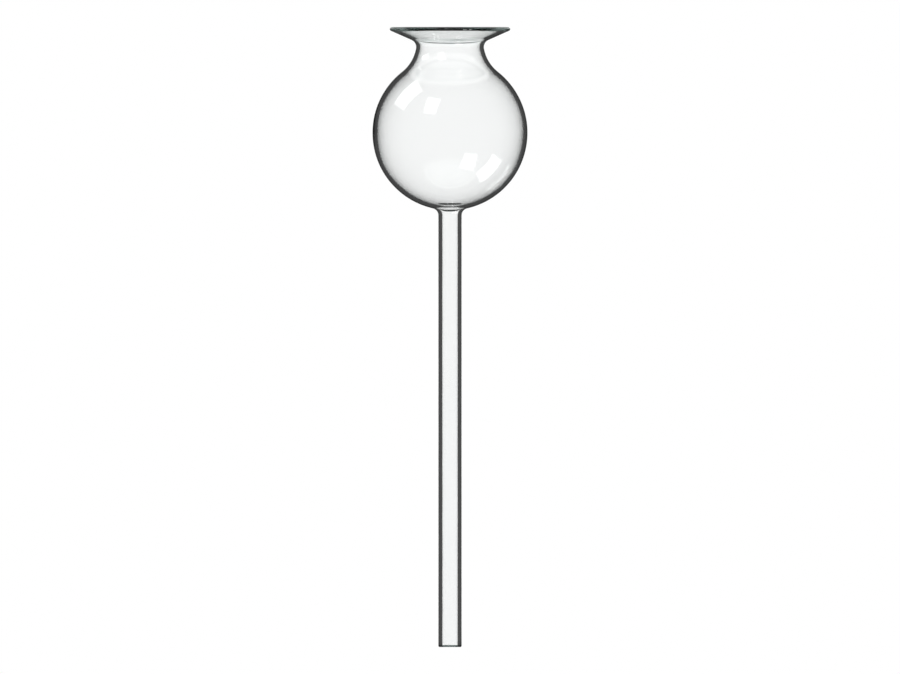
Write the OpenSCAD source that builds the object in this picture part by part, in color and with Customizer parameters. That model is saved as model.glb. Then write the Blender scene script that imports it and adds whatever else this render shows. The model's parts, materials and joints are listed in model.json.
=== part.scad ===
// Thistle funnel: a bulb of blown glass with a turned-out lip, on a long straight stem.
// It can't stand on its stem, and it rolls on its side, so it stands on its mouth, as it is
// left to drain, with the stem straight up. The origin is the centre of the mouth.

/* [Overall] */
// Length from the mouth to the tip of the stem
overall_length = 200; // [150:1:400]

/* [Bulb] */
// Outside diameter of the bulb
bulb_d = 50; // [40:0.5:75]
// Thickness of the glass in the bulb, the neck and the lip
head_wall = 1.3; // [1:0.05:2]
// Radius of the hollow neck, where the bulb turns into the throat
neck_r = 12.5; // [7.5:0.5:25]

/* [Mouth] */
// Outside diameter of the throat, the narrowest place of the neck
throat_d = 21.8; // [16:0.1:27]
// Distance of the throat from the crown of the bulb
throat_rise = 2.65; // [1.25:0.05:5]
// Radius of the bend from the throat out into the lip
bend_r = 2.5; // [1.3:0.1:3.8]
// Outside diameter of the lip
rim_d = 38.8; // [32:0.1:56]
// Slope of the lip, in degrees from the plane of the mouth
lip_slope = 24; // [10:1:45]

/* [Stem] */
// Outside diameter of the stem
stem_d = 7.5; // [6:0.1:11]
// Thickness of the glass in the stem
stem_wall = 1.25; // [0.9:0.05:1.9]
// Radius of the fillet from the bulb into the stem
foot_r = 2.25; // [0.75:0.05:6]
// Radius that the flame leaves on both edges of the tip
tip_r = 0.4; // [0.1:0.05:0.6]

/* [Hidden] */

// Largest turn, in degrees, between neighbouring points of an arc
arc_step = 3;
$fn = 120;

bulb_r = bulb_d / 2;
throat_r = throat_d / 2;
rim_r = rim_d / 2;
stem_r = stem_d / 2;
bore_r = stem_r - stem_wall;

// A polished edge can't be rounder than half the wall that it ends.
edge_r = min(tip_r, 0.49 * stem_wall);

// ---- Plane geometry ----
// The section lies in the plane of [radius, height], as the funnel is used: mouth up, tip down,
// and the bulb's centre at [0, 0].

function polar(centre, r, angle) = centre + r * [cos(angle), sin(angle)];

// Direction from one point to another, from 0 to 360 degrees
function heading(from, to) = (atan2(to.y - from.y, to.x - from.x) + 360) % 360;

function arc(centre, r, from, to) =
    let (steps = ceil(abs(to - from) / arc_step))
    [for (i = [0 : steps]) polar(centre, r, from + (to - from) * i / steps)];

// The point r1 away from p1 and r2 away from p2, on the right of the way from p1 to p2
function meeting(p1, r1, p2, r2) =
    let (
        way = p2 - p1,
        gap = norm(way),
        along = (r1 * r1 - r2 * r2 + gap * gap) / (2 * gap),
        across = sqrt(r1 * r1 - along * along)
    )
    p1 + (along * way + across * [way.y, -way.x]) / gap;

function reversed(points) = [for (i = [len(points) - 1 : -1 : 0]) points[i]];

// A closed outline without the points that the next one repeats
function distinct(points) =
    [for (i = [0 : len(points) - 1])
        if (norm(points[i] - points[(i + 1) % len(points)]) > 1e-6) points[i]];

// ---- Centres of the section's arcs ----

bulb_centre = [0, 0];
bend_centre = [throat_r + bend_r, bulb_r + throat_rise];

// The neck's arc runs out of the bulb and into the bend without a corner.
neck_centre = meeting(bulb_centre, bulb_r + neck_r, bend_centre, neck_r - bend_r);
bulb_to_neck = heading(bulb_centre, neck_centre);
neck_to_bend = heading(neck_centre, bend_centre);

// The fillet under the bulb touches a tube of radius tube_r, and the bulb's skin at this depth.
function foot_centre(depth, tube_r) =
    let (out = tube_r + foot_r + depth)
    [out, -sqrt(pow(bulb_r + foot_r, 2) - out * out)];

// The lip ends in a full round, in the middle of its wall.
lip_root = polar(bend_centre, bend_r + head_wall / 2, 90 + lip_slope);
lip_reach = rim_r - head_wall / 2 - lip_root.x;
lip_end = lip_root + lip_reach * [1, tan(lip_slope)];

mouth_height = lip_end.y + head_wall / 2;
edge_height = mouth_height - overall_length + edge_r;

// ---- The section ----

// One skin of the glass, from a tube of radius tube_r up to the lip, depth inside the outer skin.
// The bulb's arc is in two, which meet at its widest place.
function skin(depth, tube_r) =
    let (
        foot = foot_centre(depth, tube_r),
        foot_to_bulb = heading(foot, bulb_centre)
    )
    concat(
        arc(foot, foot_r + depth, 180, foot_to_bulb),
        arc(bulb_centre, bulb_r - depth, foot_to_bulb - 180, 0),
        arc(bulb_centre, bulb_r - depth, 0, bulb_to_neck),
        arc(neck_centre, neck_r + depth, bulb_to_neck + 180, neck_to_bend),
        arc(bend_centre, bend_r + depth, neck_to_bend, 90 + lip_slope)
    );

// The wall of glass all the way round: tip, outer skin, lip, inner skin
section = distinct(concat(
    arc([bore_r + edge_r, edge_height], edge_r, 180, 270),
    arc([stem_r - edge_r, edge_height], edge_r, 270, 360),
    skin(0, stem_r),
    arc(lip_end, head_wall / 2, lip_slope - 90, lip_slope + 90),
    reversed(skin(head_wall, bore_r))
));

module funnel() {
    color([0.86, 0.94, 0.93, 0.45])
    translate([0, 0, mouth_height])
    rotate([180, 0, 0])
    rotate_extrude()
    polygon(section);
}

funnel();
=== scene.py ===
"""A thistle funnel of clear glass, which stands on its mouth in a bright, plain studio.

The funnel is blown in one piece, so one class makes it. Its section is a closed chain of arcs
and straight walls, worked out from a few sizes, and the glass is that section carried once
round the upright axis.
"""

from __future__ import annotations

import json
import logging
import math
from dataclasses import dataclass
from enum import Enum
from functools import reduce
from typing import Any

import bpy
import numpy as np
from mathutils import Matrix, Vector

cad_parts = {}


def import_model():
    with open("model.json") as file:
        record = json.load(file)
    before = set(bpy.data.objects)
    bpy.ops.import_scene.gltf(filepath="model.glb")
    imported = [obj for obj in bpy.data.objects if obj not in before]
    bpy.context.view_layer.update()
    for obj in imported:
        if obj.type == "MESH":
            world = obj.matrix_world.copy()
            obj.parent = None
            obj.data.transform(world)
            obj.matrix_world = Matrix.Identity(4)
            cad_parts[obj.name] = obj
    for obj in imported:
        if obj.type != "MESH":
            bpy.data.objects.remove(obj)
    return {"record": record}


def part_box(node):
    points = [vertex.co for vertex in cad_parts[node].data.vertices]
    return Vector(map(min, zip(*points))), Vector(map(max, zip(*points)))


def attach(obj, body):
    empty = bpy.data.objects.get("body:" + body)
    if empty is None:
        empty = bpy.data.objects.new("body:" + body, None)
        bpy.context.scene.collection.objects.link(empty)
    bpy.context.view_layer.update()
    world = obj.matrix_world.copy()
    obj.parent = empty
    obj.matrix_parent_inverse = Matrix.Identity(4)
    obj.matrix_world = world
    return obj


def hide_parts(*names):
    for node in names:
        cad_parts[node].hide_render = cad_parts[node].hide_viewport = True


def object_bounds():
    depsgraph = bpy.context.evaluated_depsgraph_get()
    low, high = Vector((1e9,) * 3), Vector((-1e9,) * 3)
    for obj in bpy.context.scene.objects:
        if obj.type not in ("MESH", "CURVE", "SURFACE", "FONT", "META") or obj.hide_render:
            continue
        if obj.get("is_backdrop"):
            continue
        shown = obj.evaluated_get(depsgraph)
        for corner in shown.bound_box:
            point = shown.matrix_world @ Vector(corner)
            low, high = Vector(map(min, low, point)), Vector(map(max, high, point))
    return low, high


log = logging.getLogger("thistle_funnel")

Number = float | int
Span = tuple[float, float]
Triple = tuple[float, float, float]

MM = 0.001

# Light that is caught in the flat of the lip needs this many bounces to come out again.
BOUNCES = 32


# ---- Shader maths ----


class Wire:
    """A shader socket's output, on which plain arithmetic adds Math nodes."""

    def __init__(self, nodes: Nodes, socket: bpy.types.NodeSocket) -> None:
        """Wraps one output socket.

        Args:
            nodes: The tree's node maker.
            socket: The output to compute with.
        """
        self.nodes = nodes
        self.socket = socket

    def _math(self, operation: str, *values: Wire | Number) -> Wire:
        """Adds one Math node and returns its value."""
        return self.nodes.add("Math", {"operation": operation}, dict(enumerate(values))).value

    def __add__(self, other: Wire | Number) -> Wire:
        """The sum."""
        return self._math("ADD", self, other)

    def __radd__(self, other: Number) -> Wire:
        """The sum, with the number first."""
        return self._math("ADD", other, self)

    def __sub__(self, other: Wire | Number) -> Wire:
        """The difference."""
        return self._math("SUBTRACT", self, other)

    def __rsub__(self, other: Number) -> Wire:
        """The difference, with the number first."""
        return self._math("SUBTRACT", other, self)

    def __mul__(self, other: Wire | Number) -> Wire:
        """The product."""
        return self._math("MULTIPLY", self, other)

    def __rmul__(self, other: Number) -> Wire:
        """The product, with the number first."""
        return self._math("MULTIPLY", other, self)

    def __truediv__(self, other: Wire | Number) -> Wire:
        """The quotient."""
        return self._math("DIVIDE", self, other)

    def __rtruediv__(self, other: Number) -> Wire:
        """The quotient, with the number first."""
        return self._math("DIVIDE", other, self)

    def __abs__(self) -> Wire:
        """The value without its sign."""
        return self._math("ABSOLUTE", self)

    def either(self, other: Wire | Number) -> Wire:
        """The larger of the two."""
        return self._math("MAXIMUM", self, other)

    def step(self, low: Number, high: Number) -> Wire:
        """A smooth step from 0 at low to 1 at high."""
        settings = {"interpolation_type": "SMOOTHSTEP"}
        values = {"Value": self, "From Min": low, "From Max": high}
        return self.nodes.add("MapRange", settings, values).result


class Made:
    """A node that has been made, whose outputs read as attributes."""

    def __init__(self, nodes: Nodes, node: bpy.types.Node) -> None:
        """Wraps one node.

        Args:
            nodes: The tree's node maker.
            node: The node.
        """
        self._nodes = nodes
        self.node = node

    def __getattr__(self, name: str) -> Wire:
        """The output with this name, such as is_shadow_ray for Is Shadow Ray."""
        wanted = name.replace("_", " ").lower()
        socket = next(s for s in self.node.outputs if s.name.lower() == wanted and s.enabled)
        return Wire(self._nodes, socket)


class Nodes:
    """Makes the nodes of one material or world."""

    def __init__(self, owner: bpy.types.Material | bpy.types.World) -> None:
        """Empties the owner's node tree.

        Args:
            owner: The material or world to fill.
        """
        owner.use_nodes = True
        self.tree = owner.node_tree
        self.tree.nodes.clear()

    def add(
        self,
        kind: str,
        settings: dict[str, Any] | None = None,
        values: dict[str | int, Any] | None = None,
    ) -> Made:
        """Makes one node.

        Args:
            kind: The node's type without its ShaderNode prefix.
            settings: Properties of the node, which are set first.
            values: For each input, by name or number, a value or the wire that feeds it.

        Returns:
            The node.
        """
        node = self.tree.nodes.new("ShaderNode" + kind)
        for name, value in (settings or {}).items():
            setattr(node, name, value)
        for key, value in (values or {}).items():
            if isinstance(value, Wire):
                self.tree.links.new(value.socket, node.inputs[key])
            else:
                node.inputs[key].default_value = value
        return Made(self, node)

    def pick(self, choice: Wire, no: Wire, yes: Wire) -> Wire:
        """One shader where choice is 0, the other where it is 1."""
        return self.add("MixShader", None, {0: choice, 1: no, 2: yes}).shader


# ---- Plane geometry of the section: points are [radius, height] in millimetres ----


def polar(centre: np.ndarray, radius: float, degrees: np.ndarray | float) -> np.ndarray:
    """Points on a circle: centre + radius * (cos, sin) of each angle."""
    angle = np.radians(degrees)
    return centre + radius * np.stack([np.cos(angle), np.sin(angle)], axis=-1)


def heading(start: np.ndarray, end: np.ndarray) -> float:
    """Direction from start to end in degrees, from 0 to 360."""
    return float(np.degrees(np.arctan2(*(end - start)[::-1])) % 360)


def arc(centre: np.ndarray, radius: float, start: float, end: float, pitch: float) -> np.ndarray:
    """Points along an arc, evenly spaced in angle, at least eight and no more than pitch apart.

    Args:
        centre: Centre of the arc.
        radius: Its radius.
        start: Angle of the first point, in degrees.
        end: Angle of the last point, in degrees.
        pitch: Largest distance between neighbours.

    Returns:
        The points, one per row, the last one left out, because what comes next starts there.
    """
    steps = max(8, math.ceil(abs(math.radians(end - start)) * radius / pitch))
    return polar(centre, radius, np.linspace(start, end, steps + 1))[:-1]


def straight(start: np.ndarray, end: np.ndarray, pitch: float) -> np.ndarray:
    """Points along a straight wall, no more than pitch apart, the last one left out."""
    steps = max(1, math.ceil(float(np.linalg.norm(end - start)) / pitch))
    return start + (end - start) * np.linspace(0, 1, steps + 1)[:-1, None]


def meeting(p1: np.ndarray, r1: float, p2: np.ndarray, r2: float) -> np.ndarray:
    """The point r1 from p1 and r2 from p2 that lies right of the way from p1 to p2.

    The two distances fix how far along the way the point lies, and Pythagoras how far across.
    """
    way = p2 - p1
    gap = float(np.linalg.norm(way))
    along = (r1 * r1 - r2 * r2 + gap * gap) / (2 * gap)
    across = math.sqrt(r1 * r1 - along * along)
    return p1 + (along * way + across * np.array([way[1], -way[0]])) / gap


# ---- Finishes ----


@dataclass(frozen=True)
class ClearGlass:
    """Clear laboratory glass, blown and flame-polished, from the mouth at 0 up to the tip.

    Lengths are in metres. A span is where a smooth step starts and where it is complete.
    """

    top: float
    name: str = "clear_glass"
    index: float = 1.474
    tint: Triple = (0.996, 1.0, 0.999)
    # Colour of the painted shade at the tip and the lip, and how far it reaches in from each end.
    end_tint: Triple = (0.12, 0.15, 0.145)
    tip_depth: Span = (0.0008, 0.0005)
    lip_depth: Span = (0.0003, 0.0006)
    body_colour: Triple = (0.42, 0.60, 0.56)
    body_density: float = 12.0
    shadow_facing: Triple = (0.965, 0.98, 0.976)
    shadow_grazing: Triple = (0.30, 0.34, 0.335)
    shadow_edge: Span = (0.45, 1.0)
    lines_scale: Triple = (600.0, 600.0, 14.0)
    lines_weight: float = 0.2
    stem_reach: Span = (0.004, 0.008)
    swell_scale: float = 130.0
    swell_weight: float = 4.0
    relief: float = 0.000004
    haze: float = 0.08
    haze_scale: float = 70.0
    haze_patches: Span = (0.4, 0.75)

    def colour(self, nodes: Nodes, place: Wire) -> Wire:
        """Clear all over, and darker in the last half millimetre of each polished end: painted
        shade that draws a dark closing line at the tip and a dark ring at the lip.

        Args:
            nodes: The material's node maker.
            place: The point on the glass.

        Returns:
            The colour of the light that the skin lets through, with the painted shade at the two
            ends.
        """
        height = nodes.add("SeparateXYZ", None, {0: place}).z
        # Painted shade: the glass's colour is darkened near the tip and near the lip, so that each
        # end shows a dark line.
        painted_shade_at_tip = height.step(*(self.top - depth for depth in self.tip_depth))
        painted_shade_at_ends = painted_shade_at_tip.either(1 - height.step(*self.lip_depth))
        values = {0: painted_shade_at_ends, 6: (*self.tint, 1), 7: (*self.end_tint, 1)}
        return nodes.add("Mix", {"data_type": "RGBA"}, values).result

    def unevenness(self, nodes: Nodes, place: Wire) -> Wire:
        """A slow swell all over, and on the stem fine lines along the draw.

        Args:
            nodes: The material's node maker.
            place: The point on the glass.

        Returns:
            The normal that it gives.
        """
        drawn = nodes.add("Mapping", None, {"Vector": place, "Scale": self.lines_scale}).vector
        lines = nodes.add("TexNoise", None, {"Vector": drawn, "Scale": 1.0, "Detail": 0.0}).fac
        values = {"Vector": place, "Scale": self.swell_scale, "Detail": 1.0}
        swell = nodes.add("TexNoise", None, values).fac
        flat = nodes.add("VectorMath", {"operation": "MULTIPLY"}, {0: place, 1: (1, 1, 0)}).vector
        out = nodes.add("VectorMath", {"operation": "LENGTH"}, {0: flat}).value
        on_stem = 1 - out.step(*self.stem_reach)
        height = lines * on_stem * self.lines_weight + swell * self.swell_weight
        return nodes.add("Bump", None, {"Distance": self.relief, "Height": height}).normal

    def material(self) -> bpy.types.Material:
        """Makes the glass: a refracting shader, a faint body colour and a light shadow."""
        made = bpy.data.materials.new(self.name)
        nodes = Nodes(made)
        place = nodes.add("TexCoord").object
        values = {"Vector": place, "Scale": self.haze_scale, "Detail": 4.0}
        patches = nodes.add("TexNoise", None, values).fac.step(*self.haze_patches)
        values = {
            "Base Color": self.colour(nodes, place),
            "Roughness": patches * self.haze,
            "IOR": self.index,
            "Transmission Weight": 1.0,
            "Normal": self.unevenness(nodes, place),
        }
        glass = nodes.add("BsdfPrincipled", None, values).bsdf
        facing = nodes.add("BsdfTransparent", None, {"Color": (*self.shadow_facing, 1)}).bsdf
        grazing = nodes.add("BsdfTransparent", None, {"Color": (*self.shadow_grazing, 1)}).bsdf
        slant = nodes.add("LayerWeight", None, {"Blend": 0.5}).facing
        shadow = nodes.pick(slant.step(*self.shadow_edge), facing, grazing)
        path = nodes.add("LightPath")
        surface = nodes.pick(path.is_diffuse_ray, glass, facing)
        surface = nodes.pick(path.is_shadow_ray, surface, shadow)
        values = {"Color": (*self.body_colour, 1), "Density": self.body_density}
        body = nodes.add("VolumeAbsorption", None, values).volume
        nodes.add("OutputMaterial", None, {"Surface": surface, "Volume": body})
        return made


@dataclass(frozen=True)
class PaleFloor:
    """Pale matt paint, which fades into plain white away from the object.

    Spans are distances from the object's axis, in metres. Past the second one the glass shows
    the room instead of the floor.
    """

    name: str = "pale_floor"
    paint: Triple = (0.86, 0.86, 0.86)
    roughness: float = 0.7
    white_from: Span = (0.12, 0.5)
    open_from: Span = (0.021, 0.026)

    def material(self) -> bpy.types.Material:
        """Makes the floor's paint."""
        made = bpy.data.materials.new(self.name)
        nodes = Nodes(made)
        place = nodes.add("TexCoord").object
        reach = nodes.add("VectorMath", {"operation": "LENGTH"}, {0: place}).value
        values = {"Base Color": (*self.paint, 1), "Roughness": self.roughness}
        paint = nodes.add("BsdfPrincipled", None, values).bsdf
        white = nodes.add("Emission", None, {"Color": (1, 1, 1, 1), "Strength": 1.0}).emission
        path = nodes.add("LightPath")
        seen = nodes.pick(reach.step(*self.white_from) * path.is_camera_ray, paint, white)
        by_glass = path.is_transmission_ray.either(path.is_glossy_ray)
        clear = nodes.add("BsdfTransparent").bsdf
        seen = nodes.pick(by_glass * reach.step(*self.open_from), seen, clear)
        nodes.add("OutputMaterial", None, {"Surface": seen})
        return made


# ---- The funnel ----


class Skin(Enum):
    """The two skins of the glass."""

    OUTER = "outer"
    INNER = "inner"


def grid_normals(grid: np.ndarray) -> np.ndarray:
    """Unit normals of a surface that closes on itself both ways.

    At each point the tangent along a grid line is that of the circle through the point and its
    two neighbours: each step's direction, weighted by the other step's length. The normal is the
    cross product of the two tangents.

    Args:
        grid: Points, with rows along the section and columns round the axis.

    Returns:
        One outward normal for each point.
    """

    def tangent(axis: int) -> np.ndarray:
        """Tangents along the rows or along the columns."""
        after = np.roll(grid, -1, axis=axis) - grid
        before = np.roll(after, 1, axis=axis)
        long, short = (np.linalg.norm(v, axis=-1, keepdims=True) for v in (after, before))
        return after / long * short + before / short * long

    normal = np.cross(tangent(0), tangent(1))
    return normal / np.linalg.norm(normal, axis=-1, keepdims=True)


def closed_mesh(name: str, grid: np.ndarray) -> bpy.types.Mesh:
    """A smooth mesh over a surface that closes on itself both ways.

    Args:
        name: The mesh's name.
        grid: Points, with rows along the section and columns round the axis.

    Returns:
        The mesh, of one quadrilateral between each point and its next ones.
    """
    rows, columns, _ = grid.shape
    index = np.arange(rows * columns).reshape(rows, columns)
    up, beside = np.roll(index, -1, axis=0), np.roll(index, -1, axis=1)
    quads = np.stack([index, up, np.roll(up, -1, axis=1), beside], axis=-1)
    mesh = bpy.data.meshes.new(name)
    mesh.from_pydata(grid.reshape(-1, 3), [], quads.reshape(-1, 4))
    mesh.shade_smooth()
    mesh.normals_split_custom_set_from_vertices(grid_normals(grid).reshape(-1, 3))
    return mesh


@dataclass
class Funnel:
    """The one piece of glass: lip, neck, bulb, stem and tip. Sizes are in millimetres."""

    length: float
    stem_radius: float
    bore_radius: float
    bulb_radius: float = 25.0
    head_wall: float = 1.3
    neck_radius: float = 12.5
    throat_radius: float = 10.9
    throat_rise: float = 2.65
    bend_radius: float = 2.5
    rim_radius: float = 19.4
    lip_slope: float = 24.0
    foot_radius: float = 2.25
    edge_radius: float = 0.4
    around: int = 256
    pitch: float = 0.6
    edge_pitch: float = 0.15
    stem_pitch: float = 4.0
    outer_wave: float = 0.012
    inner_wave: float = 0.07
    wave_lobes: tuple[int, ...] = (1, 2, 3, 5)
    wave_lengths: tuple[float, ...] = (140.0, 46.0, 19.0)
    wave_fade: float = 4.0
    wave_least: float = 0.1
    wave_seed: int = 12

    @classmethod
    def from_frame(cls, record: dict[str, Any]) -> Funnel:
        """Takes the length and the stem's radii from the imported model.

        Args:
            record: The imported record.

        Returns:
            The funnel.
        """
        radius = {m["name"]: m["dims"]["r_mm"] for m in record["mounts"]}
        low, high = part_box("funnel")
        return cls((high[2] - low[2]) / MM, radius["stem"], radius["stem_bore"])

    def bend_centre(self) -> np.ndarray:
        """Centre of the bend from the throat into the lip, with the bulb's centre at 0, 0."""
        return np.array(
            [self.throat_radius + self.bend_radius, self.bulb_radius + self.throat_rise]
        )

    def skin(self, which: Skin) -> np.ndarray:
        """One skin of the head, from the stem up to the lip.

        Args:
            which: The skin.

        Returns:
            Points in the order foot fillet, bulb, neck, bend. Each arc starts where the last
            one ends, in the same direction.
        """
        depth, tube_radius = {
            Skin.OUTER: (0.0, self.stem_radius),
            Skin.INNER: (self.head_wall, self.bore_radius),
        }[which]
        bulb = np.zeros(2)
        out = tube_radius + self.foot_radius + depth
        foot = np.array([out, -math.sqrt((self.bulb_radius + self.foot_radius) ** 2 - out**2)])
        bend = self.bend_centre()
        neck = meeting(
            bulb, self.bulb_radius + self.neck_radius, bend, self.neck_radius - self.bend_radius
        )
        to_bulb, to_neck, to_bend = heading(foot, bulb), heading(bulb, neck), heading(neck, bend)
        lip = 90 + self.lip_slope
        pitch = self.pitch
        return np.concatenate(
            [
                arc(foot, self.foot_radius + depth, 180, to_bulb, pitch),
                arc(bulb, self.bulb_radius - depth, to_bulb - 180, to_neck, pitch),
                arc(neck, self.neck_radius + depth, to_neck + 180, to_bend, pitch),
                arc(bend, self.bend_radius + depth, to_bend, lip, pitch),
                polar(bend, self.bend_radius + depth, lip)[None],
            ]
        )

    def section(self) -> dict[Skin, np.ndarray]:
        """The wall of glass all the way round, with the mouth at height 0 and the tip on top.

        Returns:
            The points of the outer skin from the tip to the lip, with the round of the lip's
            edge, and those of the inner skin back to the tip.
        """
        half, slope = self.head_wall / 2, self.lip_slope
        root = polar(self.bend_centre(), self.bend_radius + half, 90 + slope)
        reach = self.rim_radius - half - root[0]
        lip = root + reach * np.array([1, math.tan(math.radians(slope))])
        mouth = lip[1] + half
        edge = mouth - self.length + self.edge_radius
        outer_edge = np.array([self.stem_radius - self.edge_radius, edge])
        inner_edge = np.array([self.bore_radius + self.edge_radius, edge])
        outer = self.skin(Skin.OUTER)
        inner = self.skin(Skin.INNER)[::-1]
        chains = {
            Skin.OUTER: [
                arc(outer_edge, self.edge_radius, 270, 360, self.edge_pitch),
                straight(np.array([self.stem_radius, edge]), outer[0], self.stem_pitch),
                outer[:-1],
                straight(outer[-1], polar(lip, half, slope - 90), self.pitch),
                arc(lip, half, slope - 90, slope + 90, self.edge_pitch),
            ],
            Skin.INNER: [
                straight(polar(lip, half, slope + 90), inner[0], self.pitch),
                inner[:-1],
                straight(inner[-1], np.array([self.bore_radius, edge]), self.stem_pitch),
                arc(inner_edge, self.edge_radius, 180, 270, self.edge_pitch),
            ],
        }
        return {s: np.concatenate(parts) * (1, -1) + (0, mouth) for s, parts in chains.items()}

    def waves(self, turn: np.ndarray, height: np.ndarray) -> np.ndarray:
        """Slow waves round and along the axis.

        Each is the cosine of its lobes round the axis, times the cosine of its length along
        it, over the number of its lobes, and all of them are summed.

        Args:
            turn: Angles round the axis, in a row.
            height: Heights, in a column.

        Returns:
            The sum, for each height and angle.
        """
        chance = np.random.default_rng(self.wave_seed)
        total = np.zeros((len(height), len(turn)))
        for lobes in self.wave_lobes:
            for length in self.wave_lengths:
                phase = chance.uniform(0, 2 * math.pi, 2)
                along = np.cos(2 * math.pi * height / length + phase[1])
                total = total + np.cos(lobes * turn + phase[0]) * along / lobes
        return total

    def build(self, material: bpy.types.Material) -> bpy.types.Object:
        """Carries the section round the axis and gives the glass its material.

        A point of the section goes to its radius times the cosine and the sine of the turn, and
        to its height. The breath and the flame leave no skin perfectly round: the radius strays
        by the skin's share of the waves, less where it is narrow and not at all at the two ends.

        Args:
            material: The glass.

        Returns:
            The funnel's object, a closed mesh with its place in its vertices.
        """
        skins = self.section()
        share = {Skin.OUTER: self.outer_wave, Skin.INNER: self.inner_wave}
        swing = np.concatenate([np.full((len(p), 1), share[s]) for s, p in skins.items()])
        section = np.concatenate(list(skins.values()))
        radius, height = section[:, :1], section[:, 1:]
        turn = np.linspace(0, 2 * math.pi, self.around, endpoint=False)
        above, below = height / self.wave_fade, (self.length - height) / self.wave_fade
        calm = np.clip(above, 0, 1) * np.clip(below, 0, 1)
        small = np.clip(radius / self.bulb_radius, self.wave_least, 1)
        radius = radius + self.waves(turn, height) * swing * calm * small
        grid = np.stack(
            [radius * np.cos(turn), radius * np.sin(turn), np.broadcast_to(height, radius.shape)],
            axis=-1,
        )
        mesh = closed_mesh("funnel_glass", grid * MM)
        mesh.materials.append(material)
        made = bpy.data.objects.new("funnel_glass", mesh)
        bpy.context.scene.collection.objects.link(made)
        return made


# ---- The studio ----


def sine(degrees: float) -> float:
    """The sine of an angle in degrees."""
    return math.sin(math.radians(degrees))


@dataclass(frozen=True)
class Window:
    """A soft light that only the glass mirrors, at an azimuth and elevation from the object."""

    azimuth: float
    elevation: float
    half_width: float
    half_height: float
    strength: float
    soft: float = 0.3

    def light(self, nodes: Nodes, way: Wire) -> Wire:
        """Its strength in each direction.

        The direction is carried onto a plane that faces the object, where the light is a
        rectangle, and its edges fade over part of its half width.

        Args:
            nodes: The world's node maker.
            way: The direction looked in.

        Returns:
            The strength.
        """
        a, e = math.radians(self.azimuth), math.radians(self.elevation)
        ahead = (math.sin(a) * math.cos(e), -math.cos(a) * math.cos(e), math.sin(e))
        across = (math.cos(a), math.sin(a), 0.0)
        above = (-math.sin(a) * math.sin(e), math.cos(a) * math.sin(e), math.cos(e))

        def along(axis: Triple) -> Wire:
            """How far the direction goes along an axis."""
            return nodes.add("VectorMath", {"operation": "DOT_PRODUCT"}, {0: way, 1: axis}).value

        # What lies behind gets a depth of almost nothing, and so falls far outside the light.
        depth = along(ahead).either(0.001)
        wide = abs(along(across) / depth) / math.tan(math.radians(self.half_width))
        tall = abs(along(above) / depth) / math.tan(math.radians(self.half_height))
        return (1 - wide.either(tall)).step(0.0, self.soft) * self.strength


@dataclass(frozen=True)
class Surroundings:
    """What each kind of ray meets round the object. It is the same from every side.

    Attributes:
        windows: The bright lights that the glass mirrors.
        ambient: The even light that falls on the floor.
        walls: What shows through the glass below and all round.
        ceiling: What shows through it overhead.
        ceiling_rise: The elevations between which the walls turn into the ceiling.
        edge: What shows where light was turned back inside the wall.
        far_wall: How many skins light has crossed before windows show inside the wall.
    """

    windows: tuple[Window, ...] = (
        Window(azimuth=96, elevation=-42, half_width=15, half_height=17, strength=7.0),
        Window(azimuth=-36, elevation=42, half_width=11, half_height=13, strength=7.0),
    )
    ambient: float = 0.46
    walls: float = 1.08
    ceiling: float = 0.05
    ceiling_rise: Span = (15.0, 45.0)
    edge: float = 0.08
    far_wall: Span = (2.0, 4.0)

    def make(self) -> None:
        """White to the camera, even soft light to the floor, and a bright room to the glass.

        Through the glass the room shows white below and all round, with a dark ceiling. What
        its skin mirrors is black but for the windows, and what is turned back inside its wall
        is almost black. All light that meets the inner skin at a slant is turned back: that is
        the thin dark edge of clear glass.
        """
        made = bpy.data.worlds.new("studio")
        bpy.context.scene.world = made
        nodes = Nodes(made)
        way = nodes.add("TexCoord").generated
        up = nodes.add("SeparateXYZ", None, {0: way}).z
        overhead = up.step(*(sine(angle) for angle in self.ceiling_rise))
        through = self.walls - overhead * (self.walls - self.ceiling)
        lights = reduce(Wire.either, (window.light(nodes, way) for window in self.windows))
        path = nodes.add("LightPath")
        turned = (lights * path.transmission_depth.step(*self.far_wall)).either(self.edge)

        def backdrop(strength: Wire | Number) -> Wire:
            """A neutral background of this strength."""
            values = {"Color": (1, 1, 1, 1), "Strength": strength}
            return nodes.add("Background", None, values).background

        # A refracted ray counts as a glossy one too, so what shows through the glass comes second.
        seen = nodes.pick(path.is_glossy_ray, backdrop(self.ambient), backdrop(lights))
        was_turned = path.glossy_depth.step(0.0, 1.0)
        shown = nodes.pick(was_turned, backdrop(through), backdrop(turned))
        seen = nodes.pick(path.is_transmission_ray, seen, shown)
        seen = nodes.pick(path.is_camera_ray, seen, backdrop(1.0))
        nodes.add("OutputWorld", None, {"Surface": seen})


@dataclass(frozen=True)
class Lamp:
    """A square soft lamp, which the glass doesn't mirror. Sizes are in metres, power in watts."""

    name: str
    place: Triple
    size: float
    power: float

    def hang(self, aim: Vector) -> None:
        """Hangs the lamp in its place, facing a point."""
        data = bpy.data.lights.new(self.name, "AREA")
        data.shape, data.size, data.energy = "SQUARE", self.size, self.power
        made = bpy.data.objects.new(self.name, data)
        made.location = self.place
        made.rotation_euler = (aim - Vector(self.place)).to_track_quat("-Z", "Y").to_euler()
        made.visible_transmission = False
        made.visible_glossy = False
        bpy.context.scene.collection.objects.link(made)


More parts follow.
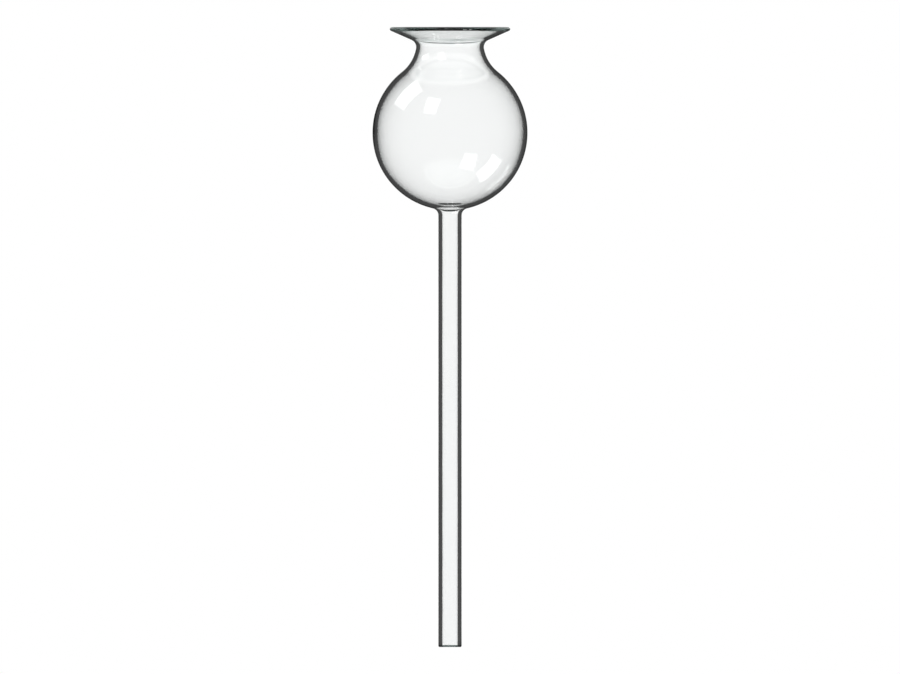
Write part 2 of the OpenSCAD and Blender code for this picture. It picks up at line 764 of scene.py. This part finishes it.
@dataclass
class Studio:
    """Floor, lamps, surroundings and camera. Sizes are in metres.

    Attributes:
        low: The lowest corner of the object's box.
        high: Its highest corner.
        floor_radius: How far the floor goes from the object.
        floor_sides: How many straight sides the round floor has.
        view_width: The width of the camera's view over the height of the object.
        view_distance: How far in front of the object the camera stands.
        lamps: The lamps.
    """

    low: Vector
    high: Vector
    floor_radius: float = 8.0
    floor_sides: int = 96
    view_width: float = 900 / 620
    view_distance: float = 0.6
    lamps: tuple[Lamp, ...] = (
        Lamp("key", (-1.8, -1.4, 2.2), 0.6, 84),
        Lamp("fill", (2.2, -1.0, 1.6), 1.8, 30),
    )

    def floor(self) -> None:
        """A wide round floor at the foot of the object."""
        turn = np.linspace(0, 2 * math.pi, self.floor_sides, endpoint=False)
        rim = [np.cos(turn) * self.floor_radius, np.sin(turn) * self.floor_radius, 0 * turn]
        mesh = bpy.data.meshes.new("floor")
        mesh.from_pydata(np.stack(rim, axis=1), [], [list(range(self.floor_sides))])
        mesh.materials.append(PaleFloor().material())
        made = bpy.data.objects.new("floor", mesh)
        bpy.context.scene.collection.objects.link(made)
        made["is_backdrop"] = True

    def camera(self) -> None:
        """Level, from the front and turned over, so that the mouth is at the top of the view."""
        data = bpy.data.cameras.new("camera")
        data.type = "ORTHO"
        data.ortho_scale = (self.high.z - self.low.z) * self.view_width
        made = bpy.data.objects.new("camera", data)
        middle = (self.low + self.high) / 2
        made.matrix_world = Matrix.Translation((0, -self.view_distance, middle.z)) @ (
            Matrix.Rotation(math.pi, 4, "Y") @ Matrix.Rotation(math.pi / 2, 4, "X")
        )
        bpy.context.scene.collection.objects.link(made)
        bpy.context.scene.camera = made

    def make(self) -> None:
        """Sets up everything round the object."""
        self.camera()
        Surroundings().make()
        self.floor()
        for lamp in self.lamps:
            lamp.hang((self.low + self.high) / 2)
        bpy.context.scene.view_settings.view_transform = "Standard"
        paths = bpy.context.scene.cycles
        paths.max_bounces = paths.glossy_bounces = paths.transmission_bounces = BOUNCES


def main() -> None:
    """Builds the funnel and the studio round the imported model."""
    logging.basicConfig(level=logging.INFO, format="%(name)s: %(message)s")
    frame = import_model()
    cad_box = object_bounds()
    Studio(*cad_box).make()
    funnel = Funnel.from_frame(frame["record"]).build(ClearGlass(cad_box[1].z).material())
    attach(funnel, "root")
    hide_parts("funnel")
    log.info("funnel: %d faces", len(funnel.data.polygons))


if __name__ == "__main__":
    main()
